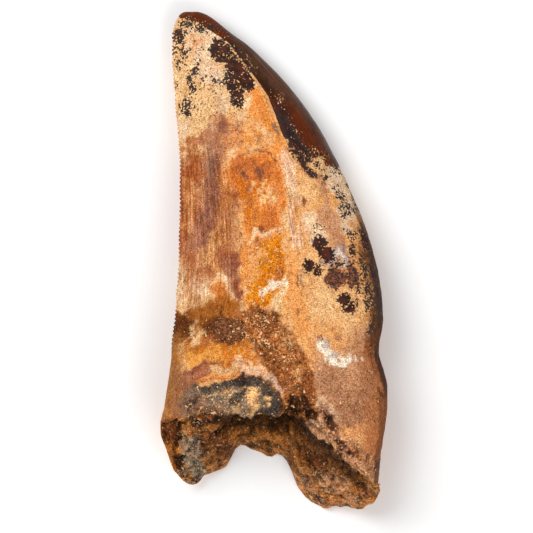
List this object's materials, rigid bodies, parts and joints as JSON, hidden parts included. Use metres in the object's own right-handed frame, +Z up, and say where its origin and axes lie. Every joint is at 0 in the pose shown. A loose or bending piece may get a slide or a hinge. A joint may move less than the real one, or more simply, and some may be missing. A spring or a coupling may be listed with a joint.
{
  "type": "fossil dinosaur tooth",
  "caption": "Serrated, curved fossil tooth of a large meat-eating dinosaur with a broken root end, lying on one broad side.",
  "frame": {"origin": "on the ground, below the middle of the lying tooth's box", "axes": "+Z up out of the upper broad side, +Y towards the tip, +X towards the bulging front edge"},
  "size_m": [0.0309, 0.068, 0.0141],
  "materials": {
    "fossil": "satin enamel over dull, grainy fossil dentine"
  },
  "bodies": {
    "root": {"tooth": "fossil"}
  },
  "joints": []
}
